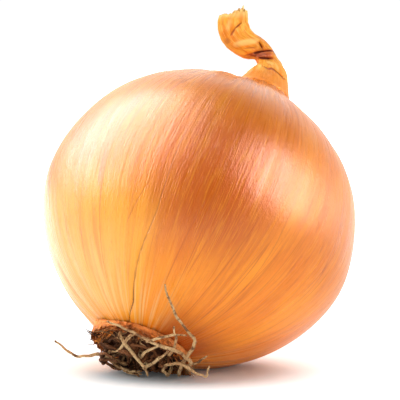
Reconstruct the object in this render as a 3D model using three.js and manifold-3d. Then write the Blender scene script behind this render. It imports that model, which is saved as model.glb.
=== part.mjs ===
// A yellow onion, dried and whole, lying on its flank the way it comes to rest on a table.
// Millimetres, +Z up. The origin is the middle of the small flat spot that the onion rests on.
// The bulb leans in the YZ plane: its roots point down towards -Y, its neck up towards +Y.
import * as THREE from "three";
import { mergeVertices } from "three/addons/utils/BufferGeometryUtils.js";
import Module from "manifold-3d";

const wasm = await Module();
wasm.setup();

// The bulb, in its own frame: +Z runs from the roots to the neck, and the widest ring is at 0
const BULB_RADIUS = 40;
const ROOT_HALF_HEIGHT = 37.2; // half height on the root side, if the taper ran on to a point
const ROOT_ROUNDNESS = 1.82; // under 2, so the flank tapers nearly straight to the roots
const NECK_HALF_HEIGHT = 38.7;
const NECK_ROUNDNESS = 2.05;
const ROOT_CUT = -34.6; // where the skin ends round the root plate
const SHOULDER_START = 36.4; // where the round of the bulb turns into the neck's foot
const SHOULDER_TOP = 41.3;
const SHOULDER_RADII = [11.2, 9.2, 7.7]; // at equal steps up to the shoulder's top
const BULB_COLUMNS = 80;
const BULB_ROWS_ROOT = 11;
const BULB_ROWS_NECK = 10;

// The unevenness of the bulb, and the ribs where the skin's veins draw together
const LOBES = [
  { count: 2, share: 0.006, turn: 0.6 },
  { count: 3, share: 0.004, turn: 2.1 },
];
const RIB_COUNT = 20;
const RIB_DEPTH = 0.35;
const ROOT_RIBS_FROM = -18; // the ribs grow from here to full depth at the root plate
const NECK_RIBS_FROM = 24;

// How the onion lies
const LEAN_DEG = 35; // of the bulb's axis from upright
const FLAT_DEPTH = 0.65; // how far the resting spot is pressed in

// The dry, folded neck: its middle line with the half width and half thickness there
const NECK_FOOT = new THREE.Vector3(2.2, 1.5, SHOULDER_TOP + 0.3); // just clear of the bulb
const NECK_FACE = new THREE.Vector3(0.62, -0.69, -0.37); // the way its flat side looks
const NECK_LINE = [
  { at: [2.2, 1.5, 41.6], width: 7.0, depth: 7.0 },
  { at: [2.1, 1.4, 43.8], width: 6.0, depth: 5.9 },
  { at: [1.9, 1.2, 46.0], width: 5.0, depth: 4.5 },
  { at: [1.4, 0.8, 48.0], width: 3.7, depth: 3.2 },
  { at: [0.8, -0.1, 49.6], width: 2.6, depth: 2.4 },
  { at: [-0.2, -1.4, 50.8], width: 2.4, depth: 2.2 },
  { at: [-1.8, -3.1, 51.5], width: 2.8, depth: 2.1 },
  { at: [-3.8, -5.2, 51.7], width: 3.2, depth: 2.0 },
  { at: [-5.6, -7.3, 52.3], width: 3.5, depth: 1.9 },
  { at: [-6.6, -9.0, 53.8], width: 3.6, depth: 1.8 },
  { at: [-6.8, -10.3, 55.6], width: 3.5, depth: 1.6 },
  { at: [-6.6, -11.3, 57.4], width: 3.1, depth: 1.3 },
];
const NECK_RINGS = 25;
const NECK_COLUMNS = 20;
const NECK_PLEATS = 5;
const NECK_PLEAT_SHARE = 0.09;
const NECK_TWIST = 4.2; // radians that the pleats wind round from the foot to the tip
const NECK_PINCH_AT = 0.52; // share of the way up where the fold bites in
const NECK_PINCH_WIDTH = 0.022;
const NECK_PINCH_SHARE = 0.24;
const NECK_TORN_SLOPE = 0.9; // how much higher one corner of the torn tip is
const NECK_TORN_TEETH = 0.5;
const NECK_TIP_HOLLOW = 1.3; // how far the tip's middle is sunk

// The frayed collar of skin ends round the root plate
const FLAKE_COUNT = 30;
const FLAKE_RING = 13.0;
const FLAKE_SUNK = 1.0;
const FLAKE_THICKNESS = 0.7;

// The root plate
const PLATE_TOP = ROOT_CUT - 0.3;
const PLATE_PROFILE = [
  [12.0, PLATE_TOP],
  [12.0, -35.4],
  [11.0, -36.1],
  [9.0, -36.9],
  [6.0, -37.6],
  [2.8, -38.0],
];
const PLATE_COLUMNS = 32;
const PLATE_RIDGES = 12;
const PLATE_RIDGE_HEIGHT = 0.22;

// The roots: the ones that give the tuft its look, each from where it leaves the plate to its tip
const ROOT_SIDES = 4;
const ROOT_STEP = 2; // length of one straight piece of a root
const LONG_ROOTS = [
  // level and far out to the side, its tip turned up
  {
    thick: 0.62,
    route: [
      [-4, 2.5, -37], [-5.4, 2, -39.6], [-6.8, -0.6, -40.2], [-8.8, -2.6, -40], [-11.1, -2.7, -40],
      [-15.4, -0.9, -40], [-20.4, 0.1, -40], [-21.6, -2.9, -40], [-21.9, -7.5, -40],
    ],
  },
  // round a knee and up over the skin
  {
    thick: 0.6,
    route: [
      [7, 6, -36.6], [9.4, 5, -39.6], [13.6, -0.2, -40.3], [17.3, -4.1, -39.2], [20, -6.2, -37.2],
      [20.7, -7.6, -35.6], [19.3, -10, -34.4], [17.9, -13.7, -32.9], [17.6, -17.8, -30.8],
      [17.5, -21.4, -28.5],
    ],
  },
  // along the whole front of the plate
  {
    thick: 0.62,
    route: [
      [10, 3, -36.4], [14, 2.8, -38.9], [17.5, -2.5, -38.9], [17.2, -6.5, -38.9], [13.2, -9.2, -39],
      [10.6, -12, -39], [8, -15, -38.8], [5, -17, -38.4], [1.6, -17.9, -38],
    ],
  },
  // from the front edge of the plate down to the table
  {
    thick: 0.66,
    route: [
      [1, -9.8, -36.4], [2, -12.4, -38.6], [3.2, -10.4, -40.2], [3.8, -6.8, -41], [5.5, -4.3, -42.4],
      [5.7, -1.4, -43.6],
    ],
  },
  // across the plate
  {
    thick: 0.55,
    route: [
      [4.5, -10, -36.4], [5.6, -12.6, -38.7], [4.4, -12, -40], [1.8, -9.7, -40.3], [-3.2, -5.7, -40.1],
      [-7.4, -3, -39.5],
    ],
  },
  { thick: 0.62, route: [[1.5, -3, -37.2], [3.2, -3.9, -40], [7, -7.1, -40.1], [13.4, -9.8, -38.9]] },
  {
    thick: 0.68,
    route: [[0.5, 1.5, -37.2], [2.8, -0.4, -41.2], [6.4, -2.7, -41.1], [9.9, -5, -40.5], [14.6, -7.9, -39.2]],
  },
  // low along the table, with its tip turned up
  {
    thick: 0.5,
    route: [
      [6.5, 4.5, -36.6], [8.3, 2.4, -41.2], [9.3, -1.1, -41.6], [11.4, -3.1, -41], [14.9, -3.8, -40.5],
      [16.8, -2.6, -40.5], [17.9, 1.6, -40.3], [18.8, 3.6, -39.8], [19.7, 2.2, -37.5],
    ],
  },
  // short ones that stand up against the skin
  {
    thick: 0.55,
    route: [[9, -2, -36.6], [12.3, -4.6, -38.9], [15, -6.8, -38.3], [16.6, -9.4, -36.4], [17.3, -12.4, -35]],
  },
  {
    thick: 0.5,
    route: [[7, -8, -36.6], [9.8, -10.9, -38.9], [13.6, -11.6, -38], [16.6, -10.4, -36.2], [18.4, -8.2, -35]],
  },
  { thick: 0.5, route: [[10.6, 1, -36.2], [13.5, 1, -38.9], [16.9, 0.7, -37.8], [19.3, 0.5, -35.8]] },
  // a tangle low at the side
  {
    thick: 0.6,
    route: [
      [-7.5, 1.5, -36.6], [-10.2, 2, -38.8], [-10.4, 3.6, -39.3], [-8.6, 4, -40.1], [-5.4, 3.1, -41],
      [-1.7, 1.7, -41.9], [0.6, 1.4, -41.4],
    ],
  },
];
// The others, spread over the plate by a rule
const SHORT_ROOTS = 22;
const SHORT_ROOT_SEED = 11;
const SHORT_ROOT_THICK = [0.42, 0.6];
const SHORT_ROOT_LENGTH = [6, 13];
const SHORT_ROOT_STEP = 2.2;
const SHORT_ROOT_SPREAD = 10.8; // radius that they grow from
const SHORT_ROOT_FOOT = -36.4;
const SHORT_ROOT_TOP = -39.4;
const SHORT_ROOT_DROP = 2.8; // how far below that the lowest of them run
const SHORT_ROOT_REACH = 8.6; // from the plate's middle, on the side where the plate shows
const SHORT_ROOT_TURN = 0.7; // how hard one bends back at each step past its reach
const SHORT_ROOT_END = 11.8; // none on that side goes on past this
const OPEN_SIDE = THREE.MathUtils.degToRad(-100); // the way that side looks
const OPEN_HALF_ANGLE = THREE.MathUtils.degToRad(130);
const ROOT_TABLE_GAP = 0.35;
const COLLAR_CLEAR = { inner: 11.6, outer: 17.4, below: -38.7 }; // roots keep out of this ring
const ROOT_SKIN_GAP = 1.2; // between a root and the skin it lies along

const SKIN = new THREE.MeshStandardMaterial({ color: 0xe0872f, roughness: 0.35, metalness: 0 });
const DRY_NECK = new THREE.MeshStandardMaterial({ color: 0xdd9334, roughness: 0.6, metalness: 0 });
const DRY_ROOT = new THREE.MeshStandardMaterial({ color: 0x9a7a4e, roughness: 0.85, metalness: 0 });

const smooth = THREE.MathUtils.smoothstep;
const lerp = THREE.MathUtils.lerp;

// A repeatable stream of numbers from 0 to 1
function seeded(seed) {
  let state = seed;
  return () => {
    state = (state * 1664525 + 1013904223) % 4294967296;
    return state / 4294967296;
  };
}

// A closed geometry as a solid that can be cut and joined
function solidOf(geometry) {
  const bare = new THREE.BufferGeometry().setAttribute("position", geometry.getAttribute("position"));
  if (geometry.index) bare.setIndex(geometry.index);
  const merged = mergeVertices(bare.toNonIndexed(), 1e-4);
  return new wasm.Manifold(
    new wasm.Mesh({
      numProp: 3,
      vertProperties: merged.attributes.position.array,
      triVerts: new Uint32Array(merged.index.array),
    }),
  );
}

function geometryOf(solid) {
  const mesh = solid.getMesh();
  const places = new Float32Array(mesh.numVert * 3);
  for (let i = 0; i < mesh.numVert; i++) {
    places.set(mesh.vertProperties.subarray(i * mesh.numProp, i * mesh.numProp + 3), i * 3);
  }
  const geometry = new THREE.BufferGeometry().setAttribute("position", new THREE.BufferAttribute(places, 3));
  geometry.setIndex(new THREE.BufferAttribute(mesh.triVerts, 1));
  geometry.computeVertexNormals();
  return geometry;
}

// The largest body of a solid: a hollow sealed inside it is filled, and a loose scrap is dropped
function mainBody(solid) {
  return solid.decompose().reduce((best, body) => (body.volume() > best.volume() ? body : best));
}

// A closed skin over rings of points that each go round anticlockwise as seen from the last ring
function loft(rings, startPoint, endPoint) {
  const columns = rings[0].length;
  const points = rings.flat();
  const start = points.push(startPoint) - 1;
  const end = points.push(endPoint) - 1;
  const last = (rings.length - 1) * columns;
  const faces = [];
  for (let c = 0; c < columns; c++) {
    const next = (c + 1) % columns;
    faces.push(start, next, c);
    faces.push(end, last + c, last + next);
    for (let r = 0; r < last; r += columns) {
      faces.push(r + c, r + next, r + columns + c);
      faces.push(r + next, r + columns + next, r + columns + c);
    }
  }
  return new THREE.BufferGeometry().setFromPoints(points).setIndex(faces);
}

// Radius of the bulb at a height in its own frame, on its round part
function bulbRadius(height) {
  const below = height < 0;
  const half = below ? ROOT_HALF_HEIGHT : NECK_HALF_HEIGHT;
  const power = below ? ROOT_ROUNDNESS : NECK_ROUNDNESS;
  return BULB_RADIUS * Math.pow(Math.max(0, 1 - Math.pow(Math.abs(height) / half, power)), 1 / power);
}

// Heights from the widest ring out to an end, closer together where the bulb turns fastest
function heightsTo(end, half, power, rows) {
  const lastAngle = Math.asin(Math.pow(Math.abs(end) / half, power / 2));
  const at = (row) => Math.sign(end) * half * Math.pow(Math.sin((lastAngle * row) / rows), 2 / power);
  return Array.from({ length: rows }, (_, row) => at(row + 1));
}

function bulbProfile() {
  const rootSide = heightsTo(ROOT_CUT, ROOT_HALF_HEIGHT, ROOT_ROUNDNESS, BULB_ROWS_ROOT).reverse();
  const neckSide = heightsTo(SHOULDER_START, NECK_HALF_HEIGHT, NECK_ROUNDNESS, BULB_ROWS_NECK);
  const round = [...rootSide, 0, ...neckSide].map((height) => new THREE.Vector2(bulbRadius(height), height));
  const step = (SHOULDER_TOP - SHOULDER_START) / SHOULDER_RADII.length;
  const shoulderAt = (radius, i) => new THREE.Vector2(radius, SHOULDER_START + step * (i + 1));
  const side = [...round, ...SHOULDER_RADII.map(shoulderAt)];
  return [new THREE.Vector2(0, ROOT_CUT), ...side, new THREE.Vector2(0, SHOULDER_TOP)];
}

// The lobes, the ribs and the neck's sideways lean, at one point of the turned bulb
function unevenBulb(point) {
  const radius = Math.hypot(point.x, point.y);
  if (radius < 1e-6) return point;
  const around = Math.atan2(point.y, point.x);
  const ribbed =
    smooth(-point.z, -ROOT_RIBS_FROM, -ROOT_CUT) + smooth(point.z, NECK_RIBS_FROM, SHOULDER_START);
  const lobes = LOBES.reduce((sum, lobe) => sum + lobe.share * Math.cos(lobe.count * around - lobe.turn), 0);
  const groove = RIB_DEPTH * ribbed * (1 - Math.abs(Math.cos((RIB_COUNT * around) / 2)));
  const share = (radius * (1 + lobes) - groove) / radius;
  const lean = smooth(point.z, SHOULDER_START - 4, SHOULDER_TOP);
  return point.set(point.x * share + lean * NECK_FOOT.x, point.y * share + lean * NECK_FOOT.y, point.z);
}

function turnedBulb() {
  const geometry = new THREE.LatheGeometry(bulbProfile(), BULB_COLUMNS);
  geometry.rotateX(Math.PI / 2);
  const place = geometry.getAttribute("position");
  const point = new THREE.Vector3();
  for (let i = 0; i < place.count; i++) {
    unevenBulb(point.fromBufferAttribute(place, i));
    place.setXYZ(i, point.x, point.y, point.z);
  }
  return solidOf(geometry);
}

// One torn end of skin: a thin tapering blade that starts inside the bulb's rim
function flake(around, halfWidth, length, flare, slant) {
  const box = new THREE.BoxGeometry(FLAKE_THICKNESS, 2 * halfWidth, FLAKE_SUNK + length);
  box.translate(0, 0, -(FLAKE_SUNK + length) / 2 + FLAKE_SUNK);
  const place = box.getAttribute("position");
  for (let i = 0; i < place.count; i++) {
    if (place.getZ(i) < 0) place.setY(i, place.getY(i) * 0.35 + slant);
  }
  box.rotateY(-flare);
  box.translate(FLAKE_RING, 0, ROOT_CUT);
  box.rotateZ(around);
  return solidOf(box);
}

function collar() {
  const draw = seeded(5);
  const flakes = Array.from({ length: FLAKE_COUNT }, (_, i) => {
    const around = ((i + 0.4 * draw()) / FLAKE_COUNT) * 2 * Math.PI;
    const flare = lerp(0.08, 0.75, Math.pow(draw(), 2));
    return flake(around, lerp(1.2, 1.8, draw()), lerp(1.6, 3.2, draw()), flare, lerp(-0.6, 0.6, draw()));
  });
  return wasm.Manifold.union(flakes);
}

// The turn that leans the bulb, and the lift that brings its flat spot to the origin
function lyingPose() {
  const lean = THREE.MathUtils.degToRad(LEAN_DEG);
  const flank = heightsTo(ROOT_CUT, ROOT_HALF_HEIGHT, ROOT_ROUNDNESS, 1000);
  const depthOf = (height) => bulbRadius(height) * Math.sin(lean) - height * Math.cos(lean);
  const lowest = flank.reduce((best, height) => (depthOf(height) > depthOf(best) ? height : best));
  const forward = bulbRadius(lowest) * Math.cos(lean) + lowest * Math.sin(lean);
  const group = new THREE.Group();
  group.rotation.x = -lean;
  group.position.set(0, -forward, depthOf(lowest) - FLAT_DEPTH);
  group.updateMatrix();
  return group;
}

const onion = new THREE.Group();
const lying = lyingPose();
onion.add(lying);
const toTable = lying.matrix;
const fromTable = toTable.clone().invert();

// A block filling the space under the table top, in the bulb's frame
function tableBlock() {
  const side = 300;
  const geometry = new THREE.BoxGeometry(side, side, side);
  geometry.translate(0, 0, -side / 2);
  geometry.applyMatrix4(fromTable);
  return solidOf(geometry);
}

function bulbSolid() {
  return turnedBulb().add(collar()).subtract(tableBlock());
}

// A smooth value between the neck line's stations
function neckValue(share, pick) {
  const line = NECK_LINE.map((station, i) => new THREE.Vector2(i, pick(station)));
  return new THREE.SplineCurve(line).getPoint(share).y;
}

// How far one point of the tip's edge stands above or below its middle line
function tornHeight(turn) {
  return NECK_TORN_SLOPE * Math.cos(turn) + NECK_TORN_TEETH * Math.sin(3 * turn + 1) * Math.cos(5 * turn);
}

function neckRing(curve, i) {
  const share = i / (NECK_RINGS - 1);
  const middle = curve.getPoint(share);
  const ahead = share === 0 ? new THREE.Vector3(0, 0, 1) : curve.getTangent(share);
  const across = new THREE.Vector3().crossVectors(ahead, NECK_FACE).normalize();
  const face = new THREE.Vector3().crossVectors(across, ahead).normalize();
  const pinch = 1 - NECK_PINCH_SHARE * Math.exp(-Math.pow((share - NECK_PINCH_AT) / NECK_PINCH_WIDTH, 2));
  const width = neckValue(share, (station) => station.width) * pinch;
  const depth = neckValue(share, (station) => station.depth) * pinch;
  const torn = smooth(share, 0.9, 1);
  const pleated = smooth(share, 0, 0.15) * NECK_PLEAT_SHARE;
  return Array.from({ length: NECK_COLUMNS }, (_, c) => {
    const turn = (2 * Math.PI * c) / NECK_COLUMNS;
    const pleat = 1 + pleated * Math.cos(NECK_PLEATS * turn + NECK_TWIST * share);
    return middle
      .clone()
      .addScaledVector(across, width * pleat * Math.cos(turn))
      .addScaledVector(face, -depth * pleat * Math.sin(turn))
      .addScaledVector(ahead, torn * tornHeight(turn));
  });
}

function neckSolid() {
  const curve = new THREE.CatmullRomCurve3(NECK_LINE.map((station) => new THREE.Vector3(...station.at)));
  const rings = Array.from({ length: NECK_RINGS }, (_, i) => neckRing(curve, i));
  const hollow = curve.getPoint(1).addScaledVector(curve.getTangent(1), -NECK_TIP_HOLLOW);
  return solidOf(loft(rings, NECK_FOOT.clone(), hollow));
}

function plateSolid() {
  const profile = PLATE_PROFILE.map(([radius, height]) => new THREE.Vector2(radius, height)).reverse();
  const ends = [new THREE.Vector2(0, profile[0].y), ...profile, new THREE.Vector2(0, PLATE_TOP)];
  const geometry = new THREE.LatheGeometry(ends, PLATE_COLUMNS);
  geometry.rotateX(Math.PI / 2);
  const place = geometry.getAttribute("position");
  for (let i = 0; i < place.count; i++) {
    const around = Math.atan2(place.getY(i), place.getX(i));
    const radius = Math.hypot(place.getX(i), place.getY(i));
    const ridge = Math.cos(PLATE_RIDGES * around + radius) * smooth(radius, 1, 5);
    if (place.getZ(i) < PLATE_TOP - 0.01) place.setZ(i, place.getZ(i) - PLATE_RIDGE_HEIGHT * ridge);
  }
  return solidOf(geometry);
}

// A root: a thin tube that tapers from its foot to its tip
function rootTube(points, thick) {
  const curve = new THREE.CatmullRomCurve3(points, false, "centripetal");
  const pieces = Math.max(3, Math.round(curve.getLength() / ROOT_STEP));
  const frames = curve.computeFrenetFrames(pieces, false);
  const rings = Array.from({ length: pieces + 1 }, (_, i) => {
    const share = i / pieces;
    const radius = thick * lerp(1, 0.62, share * share);
    const middle = curve.getPointAt(share);
    return Array.from({ length: ROOT_SIDES }, (_, c) => {
      const turn = (2 * Math.PI * c) / ROOT_SIDES;
      return middle
        .clone()
        .addScaledVector(frames.normals[i], radius * Math.cos(turn))
        .addScaledVector(frames.binormals[i], radius * Math.sin(turn));
    });
  });
  const tip = curve.getPointAt(1).addScaledVector(frames.tangents[pieces], 0.4);
  return solidOf(loft(rings, curve.getPointAt(0), tip));
}

// Whether a short root may pass here without meeting the collar, the skin or the table
function isClear(point, thick) {
  const radius = Math.hypot(point.x, point.y);
  const ring = radius > COLLAR_CLEAR.inner && radius < COLLAR_CLEAR.outer;
  if (ring && point.z > COLLAR_CLEAR.below - thick) return false;
  if (radius > COLLAR_CLEAR.outer && radius < bulbRadius(point.z) + ROOT_SKIN_GAP + thick) return false;
  return point.clone().applyMatrix4(toTable).z > thick + ROOT_TABLE_GAP;
}

// A short root: out of the plate, then wandering outwards just off it
function shortRoot(i, draw) {
  const around = i * Math.PI * (3 - Math.sqrt(5));
  const from = SHORT_ROOT_SPREAD * Math.sqrt((i + 0.6) / SHORT_ROOTS);
  const thick = lerp(...SHORT_ROOT_THICK, draw());
  const length = lerp(...SHORT_ROOT_LENGTH, draw());
  const open = Math.cos(around - OPEN_SIDE) > Math.cos(OPEN_HALF_ANGLE);
  const reach = open ? SHORT_ROOT_REACH : COLLAR_CLEAR.outer;
  const points = [new THREE.Vector3(from * Math.cos(around), from * Math.sin(around), SHORT_ROOT_FOOT)];
  let heading = around + lerp(-1.1, 1.1, draw());
  let height = SHORT_ROOT_TOP - SHORT_ROOT_DROP * draw();
  for (let gone = 0; gone < length; gone += SHORT_ROOT_STEP) {
    const before = points.at(-1);
    const step = points.length === 1 ? 0.5 * SHORT_ROOT_STEP : SHORT_ROOT_STEP;
    const tooFar = Math.hypot(before.x, before.y) > reach;
    heading += tooFar ? SHORT_ROOT_TURN : lerp(-0.55, 0.55, draw());
    height += lerp(-0.5, 0.5, draw());
    const next = new THREE.Vector3(
      before.x + step * Math.cos(heading),
      before.y + step * Math.sin(heading),
      Math.min(height, COLLAR_CLEAR.below - 1.1 * thick),
    );
    if (open && Math.hypot(next.x, next.y) > SHORT_ROOT_END) break;
    if (!isClear(next, thick)) break;
    points.push(next);
  }
  return points.length > 2 ? rootTube(points, thick) : null;
}

function rootTuftSolid() {
  const draw = seeded(SHORT_ROOT_SEED);
  const pointsOf = (route) => route.map((at) => new THREE.Vector3(...at));
  const long = LONG_ROOTS.map((root) => rootTube(pointsOf(root.route), root.thick));
  const short = Array.from({ length: SHORT_ROOTS }, (_, i) => shortRoot(i, draw)).filter(Boolean);
  return mainBody(wasm.Manifold.union([plateSolid(), ...long, ...short]));
}

function addPiece(name, solid, material) {
  const mesh = new THREE.Mesh(geometryOf(solid), material);
  mesh.name = name;
  lying.add(mesh);
}

addPiece("bulb", bulbSolid(), SKIN);
addPiece("neck", neckSolid(), DRY_NECK);
addPiece("root_tuft", rootTuftSolid(), DRY_ROOT);

export default onion;
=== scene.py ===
import math
import random

import bpy
from mathutils import Matrix, Vector, noise


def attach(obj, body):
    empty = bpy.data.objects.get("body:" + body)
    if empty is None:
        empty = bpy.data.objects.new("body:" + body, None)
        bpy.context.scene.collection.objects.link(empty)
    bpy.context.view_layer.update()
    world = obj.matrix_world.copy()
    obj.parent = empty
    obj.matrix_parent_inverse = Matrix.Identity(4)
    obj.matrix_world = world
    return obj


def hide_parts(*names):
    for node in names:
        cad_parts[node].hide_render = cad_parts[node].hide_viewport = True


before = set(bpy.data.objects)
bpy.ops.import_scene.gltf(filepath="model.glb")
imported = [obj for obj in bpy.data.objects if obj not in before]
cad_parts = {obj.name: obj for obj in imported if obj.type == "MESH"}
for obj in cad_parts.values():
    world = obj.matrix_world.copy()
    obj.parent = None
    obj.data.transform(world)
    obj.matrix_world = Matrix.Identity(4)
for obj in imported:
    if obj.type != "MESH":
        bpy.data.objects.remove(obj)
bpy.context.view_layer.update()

MM = 0.001

# The bulb, in its own frame: +Z runs from the roots to the neck, and the widest ring is at 0
BULB_RADIUS = 40 * MM
ROOT_HALF_HEIGHT = 37.2 * MM
ROOT_ROUNDNESS = 1.82
NECK_HALF_HEIGHT = 38.7 * MM
NECK_ROUNDNESS = 2.05
ROOT_CUT = -35.0 * MM
SHOULDER_START = 36.4 * MM
SHOULDER_TOP = 41.3 * MM
SHOULDER_RADII = [10.9 * MM, 8.8 * MM, 7.2 * MM]
BULB_COLUMNS = 360
BULB_ROWS_ROOT = 56
BULB_ROWS_NECK = 50
# Slow swellings round the bulb: how many, their share of the radius and their turn
LOBES = [(2, 0.006, 0.6), (3, 0.004, 2.1)]

# The grooves, dents and veins of the skin
RIB_COUNT = 20
RIB_DEPTH = 0.35 * MM
RIBS_FROM = -18 * MM
NECK_RIBS_FROM = 24 * MM
DENT_SIZE = 17 * MM
DENT_DEPTH = 0.5 * MM
VEIN_DEPTH = 0.14 * MM

# The split seam: where it runs round the bulb, with its heights in millimetres, and its crack
SEAM_START = math.radians(-70)
SEAM_SWAY = math.radians(6)
SEAM_SWAY_LOW = -31.0
SEAM_SWAY_HIGH = -13.0
SEAM_FOOT_TURN = math.radians(9)
SEAM_FOOT_LOW = -35.5
SEAM_FOOT_HIGH = -31.0
SEAM_HALF_WIDTH = 0.3 * MM
SEAM_DEPTH = 0.35 * MM
SEAM_LIP_HEIGHT = 0.16 * MM
SEAM_LIP_RISE = (0.1 * MM, 0.6 * MM)
SEAM_LIP_FALL = (0.8 * MM, 4 * MM)
SEAM_TOP = -12 * MM
SEAM_FADES = -28 * MM

# The dry neck: middle line with its half width and half thickness there, in millimetres
NECK_FOOT = Vector((2.2, 1.5, 41.6)) * MM
NECK_FACE = Vector((0.62, -0.69, -0.37))
NECK_LINE = [
    (2.2, 1.5, 41.6, 6.7, 6.7),
    (2.1, 1.4, 43.8, 5.8, 5.6),
    (1.9, 1.2, 46.0, 5.0, 4.5),
    (1.4, 0.8, 48.0, 3.7, 3.2),
    (0.8, -0.1, 49.6, 2.6, 2.4),
    (-0.2, -1.25, 50.6, 2.65, 2.2),
    (-1.8, -2.9, 51.15, 3.1, 2.1),
    (-3.8, -5.0, 51.35, 3.45, 2.0),
    (-5.6, -7.2, 52.1, 3.6, 1.9),
    (-6.6, -9.0, 53.8, 3.6, 1.8),
    (-6.8, -10.3, 55.6, 3.5, 1.6),
    (-6.6, -11.3, 57.4, 3.1, 1.3),
]
NECK_PINCH_AT = 0.5
NECK_PINCH_WIDTH = 0.05
NECK_PINCH_SHARE = 0.22
NECK_TORN_SLOPE = 1.5
NECK_FOOT_SHARE = 0.1
NECK_SMOOTH_TO = 41.4 * MM
NECK_WALL = 0.2 * MM
NECK_CRUMPLE = (1.8 * MM, 0.35 * MM)
# Under the neck, down inside the shoulder: how far down and how wide, in millimetres
NECK_FOOT_LINE = [(0, 6.7), (0.35, 6.95), (0.75, 7.15), (1.15, 7.2), (1.6, 7.1), (2.3, 6.8)]
# The neck's leaves: name, share of the full width, height of the torn tip in millimetres, seed of the
# tear, rows and columns
NECK_LEAVES = [
    ("neck_outer_leaf", 1.0, -0.8, 1.0, 130, 110),
    ("neck_inner_leaf", 0.66, -0.4, 6.0, 60, 60),
]

# The neck's pleats: where they stand round it, how far they wind, how deep and how wide they are
NECK_FOLDS = [
    (-1.9, 1.6, -0.16, 0.30),
    (-1.1, -0.7, -0.12, 0.22),
    (-0.2, 1.2, -0.12, 0.30),
    (0.5, 1.5, -0.22, 0.16),
    (1.2, 2.0, -0.26, 0.22),
    (2.0, 1.4, -0.24, 0.18),
    (2.7, 2.0, -0.20, 0.18),
]

# The front of the onion, in the bulb's frame, and the creases that show on the neck's front:
# start and end to the right of and above the bulb's middle, half width and depth, in millimetres.
# Those with a depth below 0 stand out as pale ridges with a painted highlight; the deeper ones carry painted
# shade
FRONT = Vector((0.622, -0.688, -0.375))
FRONT_RIGHT = Vector((0.782, 0.511, 0.358))
FRONT_UP = Vector((-0.054, -0.516, 0.855))
NECK_CREASES = [
    ((12.5, 43.7), (15.1, 44.3), 0.40, 0.7),
    ((14.8, 44.2), (17.6, 44.8), 0.42, 1.5),
    ((17.4, 44.8), (20.0, 44.9), 0.42, 1.5),
    ((19.7, 44.9), (20.8, 43.7), 0.38, 1.3),
    ((13.4, 43.7), (19.8, 43.9), 0.75, 0.8),
    ((16.3, 43.0), (19.6, 42.8), 0.45, 1.7),
    ((15.1, 42.4), (16.4, 41.6), 0.40, 0.6),
    ((11.5, 52.0), (10.0, 50.6), 0.45, 0.75),
    ((10.0, 50.6), (8.9, 48.8), 0.5, 0.65),
    ((7.6, 48.2), (8.8, 46.5), 0.9, 0.5),
    ((16.2, 47.2), (17.1, 45.5), 0.3, 1.3),
    ((9.2, 46.2), (15.7, 47.5), 0.8, -0.55),
    ((12.0, 45.5), (15.4, 45.7), 0.45, 0.45),
    ((17.1, 40.6), (18.4, 39.8), 0.3, 0.7),
    ((18.2, 39.8), (19.4, 40.0), 0.4, 0.9),
    ((19.3, 40.1), (22.5, 37.3), 0.35, 0.9),
    ((16.0, 41.0), (16.7, 40.2), 0.6, -0.45),
    ((18.3, 41.8), (19.8, 41.2), 0.5, -0.5),
    ((8.8, 53.0), (7.9, 50.0), 0.9, -0.35),
]

# The skin's colours, as light amounts, and the sides of the bulb that they lie on
SKIN_ORANGE = (0.78, 0.205, 0.012)
SKIN_AMBER = (0.86, 0.26, 0.014)
SKIN_GOLD = (0.92, 0.36, 0.025)
# Tan, which also serves as painted shade
SKIN_TAN_AND_SHADE = (0.48, 0.085, 0.005)
SKIN_BROWN = (0.46, 0.09, 0.008)
SKIN_RED = (0.38, 0.065, 0.012)
SKIN_PALE = (0.95, 0.58, 0.22)
SKIN_DARK = (0.16, 0.05, 0.012)
# Single dark veins: degrees round the bulb and height in millimetres, at foot and at top, and strength
SKIN_VEINS = [
    (-51.3, -27, -48.0, -7, 1.0),
    (-42.6, -24, -39.9, -9, 0.8),
    (-30.8, -31, -28.0, -8, 1.0),
    (-75.5, -18, -69.5, -8, 0.8),
    (-62.5, -13, -57.0, 14, 0.8),
    (-17.0, -28, -14.0, -12, 0.6),
    (20.0, -29, 24.0, -8, 0.8),
    (46.0, -30, 49.0, 2, 1.0),
    (64.0, -22, 68.0, 10, 0.7),
    (93.0, -31, 96.0, -5, 0.9),
    (116.0, -20, 121.0, 12, 0.7),
    (139.0, -30, 142.0, -8, 1.0),
    (163.0, -26, 169.0, 5, 0.8),
    (-172.0, -31, -169.0, -10, 0.9),
    (-155.0, -24, -149.0, 8, 0.7),
    (-128.0, -30, -124.0, -4, 0.8),
    (-103.0, -27, -99.0, -9, 0.6),
]
GOLDEN_SIDE = math.radians(-120)
# Painted shade: the side that faces the front is darker, standing for the dark room that the skin mirrors
# there
FRONT_SHADE_SIDE = math.radians(-46)
# On this side the skin by the root plate has painted shade in dark red
RED_SIDE = math.radians(-11)
PALE_SIDE = math.radians(-112)

# The colours of the dry neck, the roots and the root plate
NECK_GOLD = (0.90, 0.40, 0.03)
NECK_ORANGE = (0.78, 0.24, 0.006)
NECK_BROWN = (0.60, 0.15, 0.008)
# The pale tone is also the painted highlight on the neck's raised folds; the red and crease tones are painted
# shade
NECK_PALE_AND_HIGHLIGHT = (0.95, 0.60, 0.18)
NECK_RED_SHADE = (0.36, 0.06, 0.018)
NECK_CREASE_SHADE = (0.13, 0.015, 0.005)
TORN_BRIGHT = (0.82, 0.31, 0.08)
TORN_ORANGE = (0.80, 0.27, 0.05)
TORN_RUST = (0.46, 0.14, 0.035)
TORN_DARK = (0.09, 0.035, 0.015)
ROOT_TAN = (0.46, 0.27, 0.12)
ROOT_STRAW = (0.68, 0.45, 0.22)
ROOT_BROWN = (0.18, 0.066, 0.023)
ROOT_DARK = (0.055, 0.022, 0.010)
PLATE_BROWN = (0.14, 0.045, 0.018)
PLATE_DARK = (0.05, 0.018, 0.01)
PLATE_RUST = (0.35, 0.10, 0.025)
PLATE_BLACK = (0.02, 0.008, 0.005)

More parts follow.
